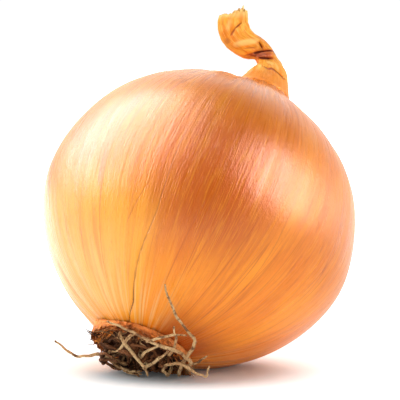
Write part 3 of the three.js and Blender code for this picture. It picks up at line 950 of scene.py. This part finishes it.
def seam_lip_weight(place):
    """The skin lifts a little beside the seam."""
    past = past_seam(place)
    return seam_strength(place) * smoothstep(past, *SEAM_LIP_RISE) * (1 - smoothstep(past, *SEAM_LIP_FALL))


def cut_at_table(piece):
    """Cuts the resting spot flat, at table level."""
    take(piece)
    bpy.ops.object.mode_set(mode="EDIT")
    bpy.ops.mesh.select_all(action="SELECT")
    bpy.ops.mesh.bisect(plane_co=(0, 0, 0), plane_no=(0, 0, 1), clear_inner=True, use_fill=True)
    bpy.ops.object.mode_set(mode="OBJECT")


def make_bulb(material):
    piece = spin_outline("bulb_skin", bulb_outline(), BULB_COLUMNS)
    move_points(piece, uneven)
    push(piece, "ribs", rib_weight, -RIB_DEPTH)
    push(piece, "dents", dent_weight, -DENT_DEPTH)
    push(piece, "veins", vein_weight, -VEIN_DEPTH)
    push(piece, "seam_lip", seam_lip_weight, SEAM_LIP_HEIGHT)
    push(piece, "seam", seam_weight, -SEAM_DEPTH)
    lay_down(piece, "onion_skin", material, "bulb")
    cut_at_table(piece)


def torn_length(around, seed, teeth):
    """How far a torn edge hangs down at one place round it, from 0 to 1."""
    length = 0.5 + 0.75 * noise_round(around, teeth, seed) + 0.45 * noise_round(around, teeth * 4, seed + 3)
    return min(1.0, max(0.0, length))


def drawn_tube(name, columns, radius, height, rows, step):
    """An open tube: a ring that is drawn out row by row."""
    deselect_all()
    bpy.ops.mesh.primitive_circle_add(vertices=columns, radius=radius, location=(0, 0, height))
    piece = named(name)
    bpy.ops.object.transform_apply(location=True, rotation=True, scale=True)
    bpy.ops.object.mode_set(mode="EDIT")
    for _ in range(rows):
        bpy.ops.mesh.extrude_region_move(TRANSFORM_OT_translate={"value": (0, 0, step)})
    bpy.ops.object.mode_set(mode="OBJECT")
    return piece


def make_torn_layer(name, material, sizes, seed, widening):
    """One layer of torn skin that hangs round the root plate, with a ragged edge."""
    ring, top, shortest, longest, flare = [size * MM for size in sizes]
    piece = drawn_tube(name, TORN_COLUMNS, ring, top, TORN_ROWS, -MM)

    def hang(place):
        around = turn_of(place)
        down = (top - place.z) / (TORN_ROWS * MM)
        wide = widening * smoothstep(math.cos(around - WIDE_SIDE), 0.5, 0.95)
        length = mix(shortest, longest, torn_length(around, seed, 5.0)) + wide * WIDE_LENGTH
        curl = mix(0.3, 1.0, torn_length(around, seed + 9, 2.5)) * flare * (1 - wide) - wide * WIDE_CLOSING
        wave = TORN_WAVE * noise_round(around, 14, down * 2 + seed)
        radius = ring + wide * WIDE_RING + curl * down * down + wave
        height = top + wide * WIDE_RISE - length * down
        return on_ring(radius, around, height)

    move_points(piece, hang)
    apply_modifier(piece, "wall", "SOLIDIFY", thickness=TORN_WALL, offset=0)
    crinkle(piece, name + "_crumple", *TORN_CRUMPLE)
    lay_down(piece, "onion_skin", material)
    cut_at_table(piece)


def plate_outline():
    """From the plate's top to its lowest point, with even steps."""
    corners = [Vector(corner) * MM for corner in PLATE_PROFILE]
    outline = [(0.0, PLATE_TOP)]
    for first, second in zip(corners, corners[1:]):
        pieces = max(1, round((second - first).length / PLATE_STEP))
        outline += [tuple(first.lerp(second, i / pieces)) for i in range(pieces)]
    outline.append(tuple(corners[-1]))
    outline.append((0.0, corners[-1].y))
    return outline


def make_plate(material):
    """The short flat stem, rough with the stumps of old roots."""
    piece = spin_outline("root_plate", plate_outline(), PLATE_COLUMNS)
    crinkle(piece, "plate_lumps", *PLATE_LUMPS)
    crinkle(piece, "plate_grain", *PLATE_GRAIN)
    lay_down(piece, "dry_root", material, "root_tuft")
    cut_at_table(piece)


def seeded(seed):
    """Draws numbers from 0 to 1, always the same ones."""
    state = seed
    while True:
        state = (state * 1664525 + 1013904223) % 4294967296
        yield state / 4294967296


def is_clear(point, thick):
    """Whether a short root may pass here without meeting the collar, the skin or the table."""
    radius = math.hypot(point.x, point.y)
    inner, outer, below = COLLAR_CLEAR
    if inner < radius < outer and point.z > below - thick:
        return False
    if radius > outer and radius < bulb_radius(point.z * MM) / MM + ROOT_SKIN_GAP + thick:
        return False
    return (LYING @ (point * MM)).z / MM > thick + ROOT_TABLE_GAP


def short_root(i, draw):
    """A short root: out of the plate, then wandering outwards just off it. In millimetres."""
    around = i * GOLDEN_ANGLE
    start = SHORT_ROOT_SPREAD * math.sqrt((i + 0.6) / SHORT_ROOTS)
    thick = mix(*SHORT_ROOT_THICK, next(draw))
    length = mix(*SHORT_ROOT_LENGTH, next(draw))
    is_open = math.cos(around - OPEN_SIDE) > math.cos(OPEN_HALF_ANGLE)
    reach = SHORT_ROOT_REACH if is_open else COLLAR_CLEAR[1]
    points = [on_ring(start, around, SHORT_ROOT_FOOT)]
    heading = around + mix(-1.1, 1.1, next(draw))
    height = SHORT_ROOT_TOP - SHORT_ROOT_DROP * next(draw)
    gone = 0.0
    while gone < length:
        before = points[-1]
        step = (0.5 if len(points) == 1 else 1) * SHORT_ROOT_STEP
        is_far = math.hypot(before.x, before.y) > reach
        heading += SHORT_ROOT_TURN if is_far else mix(-0.55, 0.55, next(draw))
        height += mix(-0.5, 0.5, next(draw))
        low = min(height, COLLAR_CLEAR[2] - 1.1 * thick)
        point = Vector((before.x, before.y, 0)) + on_ring(step, heading, low)
        if is_open and math.hypot(point.x, point.y) > SHORT_ROOT_END:
            break
        if not is_clear(point, thick):
            break
        points.append(point)
        gone += SHORT_ROOT_STEP
    return (thick, points) if len(points) > 2 else None


def add_root(curve, points, thick, tip_share):
    """Adds one root to the curve, through its points, thinner towards its tip. In millimetres."""
    route = [points[0]]
    for first, second in zip(points, points[1:]):
        kink = Vector((random.uniform(-1, 1), random.uniform(-1, 1), random.uniform(-1, 1))) * ROOT_KINK
        route += [first.lerp(second, 0.5) + kink, second]
    spline = curve.data.splines.new("BEZIER")
    spline.bezier_points.add(len(route) - 1)
    for i, (bead, point) in enumerate(zip(spline.bezier_points, route)):
        share = i / (len(route) - 1)
        bead.co = point * MM
        bead.radius = thick * mix(1, tip_share, share * share) * random.uniform(0.86, 1.1)
        bead.handle_left_type = bead.handle_right_type = "AUTO"


def root_curve(name, smoothness, sides):
    deselect_all()
    bpy.ops.object.add(type="CURVE", location=(0, 0, 0))
    curve = named(name)
    curve.data.dimensions = "3D"
    curve.data.bevel_depth = MM
    curve.data.bevel_resolution = sides
    curve.data.resolution_u = smoothness
    curve.data.use_fill_caps = True
    return curve


def finish_roots(curve, material, wrinkles=None):
    """Turns root curves into a mesh, with wrinkles of a size and depth."""
    take(curve)
    bpy.ops.object.convert(target="MESH")
    piece = bpy.context.object
    if wrinkles:
        crinkle(piece, piece.name + "_wrinkles", *wrinkles)
    lay_down(piece, "dry_root", material, "root_tuft")


def make_long_roots(material):
    """The dry roots on the routes that show."""
    random.seed(4)
    curve = root_curve("long_roots", 5, 2)
    for thick, route in LONG_ROOTS + LOW_ROOTS:
        add_root(curve, [Vector(point) for point in route], thick * LONG_ROOT_SHARE, LONG_ROOT_TIP)
    finish_roots(curve, material, ROOT_WRINKLES)


def make_short_roots(material):
    """The short dry roots that lie over the plate."""
    random.seed(8)
    curve = root_curve("short_roots", 5, 2)
    draw = seeded(SHORT_ROOT_SEED)
    for i in range(SHORT_ROOTS):
        root = short_root(i, draw)
        if root and min(point.dot(FRONT_RIGHT) for point in root[1]) > SHORT_ROOT_LEFT_END:
            add_root(curve, root[1], root[0] * SHORT_ROOT_SHARE, SHORT_ROOT_TIP)
    finish_roots(curve, material, ROOT_WRINKLES)


def wandering_route(start, around, drop_of, walk):
    """A short route down from the plate, as far as the table or its reach allows. In millimetres."""
    spread, steps, turn, stride, table_gap, reach = walk
    heading = around + random.uniform(-spread, spread)
    points = [start]
    for step in range(random.randint(*steps)):
        heading += random.uniform(-turn, turn)
        point = points[-1] + on_ring(stride, heading, drop_of(step))
        if (LYING @ (point * MM)).z < table_gap * MM or math.hypot(point.x, point.y) > reach:
            break
        points.append(point)
    return points


def make_old_roots(material):
    """Short, dark, broken roots that fill the space under the plate."""
    random.seed(52)
    curve = root_curve("old_roots", 3, 1)

    def drop_of(step):
        return random.uniform(*(OLD_ROOT_DROP if step else OLD_ROOT_FIRST_DROP))

    for i in range(OLD_ROOTS):
        around = i * GOLDEN_ANGLE
        start = OLD_ROOT_SPREAD * math.sqrt((i + 0.5) / OLD_ROOTS)
        point = on_ring(start, around, OLD_ROOT_FOOT - OLD_ROOT_DOME * (11 - start))
        if i % 2:
            around = OLD_ROOT_LOW_SIDE
            low_x, low_y = [random.uniform(*ends) for ends in OLD_ROOT_LOW_PATCH]
            point = Vector((low_x, low_y, OLD_ROOT_LOW_FOOT))
        points = wandering_route(point, around, drop_of, OLD_ROOT_WALK)
        if len(points) > 1:
            add_root(curve, points, random.uniform(*OLD_ROOT_THICK), OLD_ROOT_TIP)
    finish_roots(curve, material, OLD_ROOT_WRINKLES)


def make_fibres(material):
    """Fine dry fibres that hang from the plate and from the torn skin round it."""
    random.seed(33)
    curve = root_curve("dry_fibres", 3, 0)

    def drop_of(step):
        return random.uniform(*FIBRE_DROP) if step else FIBRE_FIRST_DROP

    for _ in range(FIBRE_COUNT):
        around = random.uniform(0, 2 * math.pi)
        start = random.uniform(*FIBRE_RING)
        foot = FIBRE_PLATE_FOOT if start < FIBRE_ON_PLATE else FIBRE_SKIN_FOOT
        points = wandering_route(on_ring(start, around, foot), around, drop_of, FIBRE_WALK)
        if len(points) > 2:
            add_root(curve, points, random.uniform(*FIBRE_THICK), FIBRE_TIP)
    finish_roots(curve, material)


def neck_relief(turn, share):
    """The neck's radius at one place, as a share of the smooth one's."""
    fold = sum(
        depth * math.exp(-(gap_between(turn, at + wind * share) / width) ** 2)
        for at, wind, depth, width in NECK_FOLDS
    )
    pinch = NECK_PINCH_SHARE * math.exp(-((share - NECK_PINCH_AT) / NECK_PINCH_WIDTH) ** 2)
    return 1 + fold * smoothstep(share, 0.04, 0.3) - pinch * (0.5 - 0.5 * math.cos(turn))


def stroke_depth(place, facing):
    """How deep the creases on the neck's front bite at a place; the same depth sets their painted shade and
    highlight.
    """
    along_view = Vector((place.dot(FRONT_RIGHT), place.dot(FRONT_UP)))
    deepest, highest = 0.0, 0.0
    for start, end, width, depth in NECK_CREASES:
        start, end = Vector(start), Vector(end)
        way = end - start
        along = min(1.0, max(0.0, (along_view - start).dot(way) / way.length_squared))
        gap = (along_view - start - way * along).length
        ends = 1 - 0.4 * (2 * along - 1) ** 4
        bite = depth * ends * math.exp(-(gap / width) ** 2)
        deepest, highest = max(deepest, bite), min(highest, bite)
    return (deepest + highest) * facing


def neck_place(turn, share, middles, widths, depths, width_share, torn_height, seed):
    """One place on a leaf of the neck, in millimetres. Below 0 it runs down inside the bulb's shoulder."""
    up = max(0.0, share)
    middle = catmull_rom(middles, up)
    near = catmull_rom(middles, min(1.0, up + 0.01)) - catmull_rom(middles, max(0.0, up - 0.01))
    ahead = Vector((0, 0, 1)).lerp(near.normalized(), smoothstep(up, 0, 0.08)).normalized()
    across = ahead.cross(NECK_FACE).normalized()
    face = across.cross(ahead).normalized()
    relief = neck_relief(turn, up) * width_share
    wider = 1 + 0.12 * smoothstep(up, 0.62, 0.8)
    width = catmull_rom(widths, up) * relief * wider
    depth = catmull_rom(depths, up) * relief
    if share < 0:
        foot = -share / NECK_FOOT_SHARE
        drop, width = catmull_rom([Vector(step) for step in NECK_FOOT_LINE], foot)
        middle = middle - Vector((0, 0, drop))
        depth = width
    tear = smoothstep(up, 0.88, 1) * (
        NECK_TORN_SLOPE * math.cos(turn)
        + torn_height
        + 1.3 * noise_round(turn, 2.2, seed)
        + 0.3 * noise_round(turn, 9, seed)
    )
    return middle + across * (width * math.cos(turn)) - face * (depth * math.sin(turn)) + ahead * tear


def neck_leaf(name, material, width_share, torn_height, seed, rows, columns):
    """A dried leaf base: a tube that follows the neck's line."""
    piece = drawn_tube(name, columns, 1, 0, rows, 1)
    middles = [Vector(station[:3]) for station in NECK_LINE]
    widths = [station[3] for station in NECK_LINE]
    depths = [station[4] for station in NECK_LINE]
    piece.data.attributes.new("neck_way", "FLOAT_VECTOR", "POINT")
    piece.data.attributes.new("neck_crease_shading", "FLOAT", "POINT")
    way = piece.data.attributes["neck_way"]
    crease_shading = piece.data.attributes["neck_crease_shading"]
    for vertex in piece.data.vertices:
        turn = turn_of(vertex.co)
        share = vertex.co.z / rows * (1 + NECK_FOOT_SHARE) - NECK_FOOT_SHARE
        place = neck_place(turn, share, middles, widths, depths, width_share, torn_height, seed)
        bite = stroke_depth(place, max(0.0, -math.sin(turn)) ** 0.5) * width_share
        way.data[vertex.index].vector = (math.cos(turn), math.sin(turn), share)
        # The depth is kept for the painted shade and highlight of the creases
        crease_shading.data[vertex.index].value = min(1.0, max(-1.0, bite))
        vertex.co = (place - FRONT * bite) * MM
    piece.data.update()
    apply_modifier(piece, "wall", "SOLIDIFY", thickness=NECK_WALL, offset=-1)
    crinkle(piece, name + "_crumple", *NECK_CRUMPLE, above_foot)
    lay_down(piece, "dry_neck", material, "neck")


def above_foot(place):
    """The neck is smooth where it comes out of the bulb's shoulder."""
    return smoothstep(place.z, NECK_SMOOTH_TO, NECK_SMOOTH_TO + 3 * MM)


def bent_blade(name):
    """One small torn flake of skin, standing up from the origin, pointed and slightly cupped."""
    deselect_all()
    bpy.ops.mesh.primitive_grid_add(x_subdivisions=3, y_subdivisions=6, size=1, location=(0, 0, 0))
    piece = named(name)

    def shape(place):
        along = place.y + 0.5
        half = 0.5 * (1 - along ** 1.6) + 0.06
        return Vector((0.28 * along * along + 0.5 * place.x * place.x, place.x * 2 * half, -along))

    move_points(piece, shape)
    apply_modifier(piece, "wall", "SOLIDIFY", thickness=0.07, offset=0)
    return piece


def place_flakes(pattern):
    """Copies of the flake, hung all round the root plate, each with its own size and lean."""
    random.seed(21)
    flakes = []
    for i in range(FLAKE_COUNT):
        around = random.uniform(0, 2 * math.pi)
        ring, top = random.choice(FLAKE_RINGS)
        length = random.uniform(*FLAKE_LENGTH) * MM
        flare = math.radians(random.uniform(*FLAKE_FLARE))
        width = random.uniform(*FLAKE_WIDTH) * MM
        twist = math.radians(random.uniform(*FLAKE_TWIST))
        stand = Matrix.Rotation(around, 4, "Z") @ Matrix.Translation((ring * MM, 0, top * MM))
        lean = Matrix.Rotation(-flare, 4, "Y") @ Matrix.Rotation(twist, 4, "X")
        take(pattern)
        bpy.ops.object.duplicate(linked=False)
        flake = bpy.context.object
        flake.name = f"skin_flake_{i:03d}"
        flake.matrix_world = stand @ lean @ Matrix.Diagonal((length, width, length, 1))
        flakes.append(flake)
    return flakes


def make_flakes(material):
    pattern = bent_blade("skin_flake")
    flakes = place_flakes(pattern)
    deselect_all()
    bpy.data.objects.remove(pattern)
    for flake in flakes:
        flake.select_set(True)
    bpy.context.view_layer.objects.active = flakes[0]
    bpy.ops.object.transform_apply(location=True, rotation=True, scale=True)
    bpy.ops.object.join()
    piece = named("torn_skin_flakes")
    crinkle(piece, "flake_crumple", *FLAKE_CRUMPLE)
    lay_down(piece, "onion_skin", material)
    cut_at_table(piece)


# The studio

def studio_direction(right, up, toward):
    """A direction given as the photographer sees it."""
    level = math.cos(VIEW_ELEVATION)
    to_right = Vector((math.cos(VIEW_AZIMUTH), math.sin(VIEW_AZIMUTH), 0))
    to_camera = Vector((to_right.y * level, -to_right.x * level, math.sin(VIEW_ELEVATION)))
    to_top = to_camera.cross(to_right)
    return (to_right * right + to_top * up + to_camera * toward).normalized()


def aim(piece, target):
    piece.rotation_euler = (target - piece.location).to_track_quat("-Z", "Y").to_euler()


def add_camera():
    deselect_all()
    bpy.ops.object.camera_add(location=BULB_MIDDLE + studio_direction(0, 0, 1) * VIEW_DISTANCE)
    camera = bpy.context.object
    camera.name = "photo_camera"
    aim(camera, BULB_MIDDLE)
    camera.data.sensor_width = SENSOR
    camera.data.lens = PIXELS_PER_MM * VIEW_DISTANCE / MM / IMAGE_SIZE * SENSOR
    camera.data.shift_x = (IMAGE_SIZE / 2 - BULB_MIDDLE_PIXEL[0]) / IMAGE_SIZE
    camera.data.shift_y = (BULB_MIDDLE_PIXEL[1] - IMAGE_SIZE / 2) / IMAGE_SIZE
    bpy.context.scene.camera = camera


def add_softbox(name, direction, size, power):
    deselect_all()
    place = BULB_MIDDLE + studio_direction(*direction) * SOFTBOX_DISTANCE
    bpy.ops.object.light_add(type="AREA", location=place)
    light = bpy.context.object
    light.name = name
    light.data.shape = "RECTANGLE"
    light.data.size, light.data.size_y = size
    light.data.energy = power
    aim(light, BULB_MIDDLE)


def add_surroundings():
    """A room, bright behind the onion and dark behind the camera. Only mirror rays see its windows."""
    world = bpy.data.worlds.new("studio_room")
    room = Finish(world)
    direction = room.node("ShaderNodeTexCoord")["Generated"]

    def facing(*way):
        sockets = {0: direction, 1: studio_direction(*way)}
        return room.node("ShaderNodeVectorMath", {"operation": "DOT_PRODUCT"}, sockets)["Value"]

    def background(strength):
        return room.node("ShaderNodeBackground", None, {"Color": WHITE, "Strength": strength})["Background"]

    def choose(share, first, second):
        return room.node("ShaderNodeMixShader", None, {0: share, 1: first, 2: second})["Shader"]

    glow = room.step(facing(0, 0.35, 1), *WALL_FADE, WALL_BEHIND, WALL_IN_FRONT)
    glow = glow * room.step(facing(0, 1, 0), *CEILING_EDGE, 1.0, CEILING_GLOW)
    for way, edge, core, strength in BRIGHT_PARTS:
        glow = glow + room.step(facing(*way), edge, core) * strength
    ray = room.node("ShaderNodeLightPath")
    lit = choose(ray["Is Glossy Ray"], background(ROOM_LIGHT), background(glow))
    either = choose(ray["Is Camera Ray"], lit, background(ROOM_SEEN))
    room.node("ShaderNodeOutputWorld", None, {"Surface": either})
    bpy.context.scene.world = world


def add_table():
    deselect_all()
    bpy.ops.mesh.primitive_plane_add(size=TABLE_SIZE, location=(0, 0, 0))
    table = named("floor")
    finish = new_finish("white_table")
    x, y = finish.split(finish.place())[:2]
    leftwards = x * -math.cos(VIEW_AZIMUTH) - y * math.sin(VIEW_AZIMUTH)
    x = x - SHADOW_MIDDLE[0]
    y = y - SHADOW_MIDDLE[1]
    far = (x * x + y * y) ** 0.5
    # Painted shadow: the glow is weak round the onion
    glow = finish.step(far, *SHADOW_EDGE, TABLE_GLOW_NEAR, TABLE_GLOW_MID)
    glow = glow + finish.step(far, *FAR_GLOW_EDGE, 0.0, TABLE_GLOW_FAR)
    mirrored = finish.node("ShaderNodeLightPath")["Is Glossy Ray"]
    # Painted sheen on the left, which only mirror rays see
    glow = glow + mirrored * finish.step(leftwards, *TABLE_SHINE_EDGE) * TABLE_SHINE
    plain = finish.node("ShaderNodeBsdfDiffuse", None, {"Color": TABLE_COLOUR})["BSDF"]
    lamp = finish.node("ShaderNodeEmission", None, {"Color": WHITE, "Strength": glow})["Emission"]
    both = finish.node("ShaderNodeAddShader", None, {0: plain, 1: lamp})["Shader"]
    finish.node("ShaderNodeOutputMaterial", None, {"Surface": both})
    table.data.materials.append(finish.owner)


bpy.context.scene.view_settings.view_transform = "Standard"
add_camera()
add_surroundings()
add_table()
for softbox in SOFTBOXES:
    add_softbox(*softbox)

make_bulb(skin_finish())
torn_skin = torn_finish()
for torn_layer in TORN_LAYERS:
    make_torn_layer(torn_layer[0], torn_skin, *torn_layer[1:])
make_flakes(torn_skin)
make_plate(plate_finish())
make_long_roots(root_finish("dry_root", ROOT_TAN, ROOT_STRAW))
# The short roots take the darker root tones: painted shade, as they lie deeper in the tuft
make_short_roots(root_finish("short_root", ROOT_DARK, ROOT_BROWN))
make_old_roots(root_finish("old_root", ROOT_DARK, ROOT_BROWN))
make_fibres(root_finish("dry_fibre", ROOT_DARK, ROOT_TAN))
dry_neck = neck_finish()
for leaf in NECK_LEAVES:
    neck_leaf(leaf[0], dry_neck, *leaf[1:])
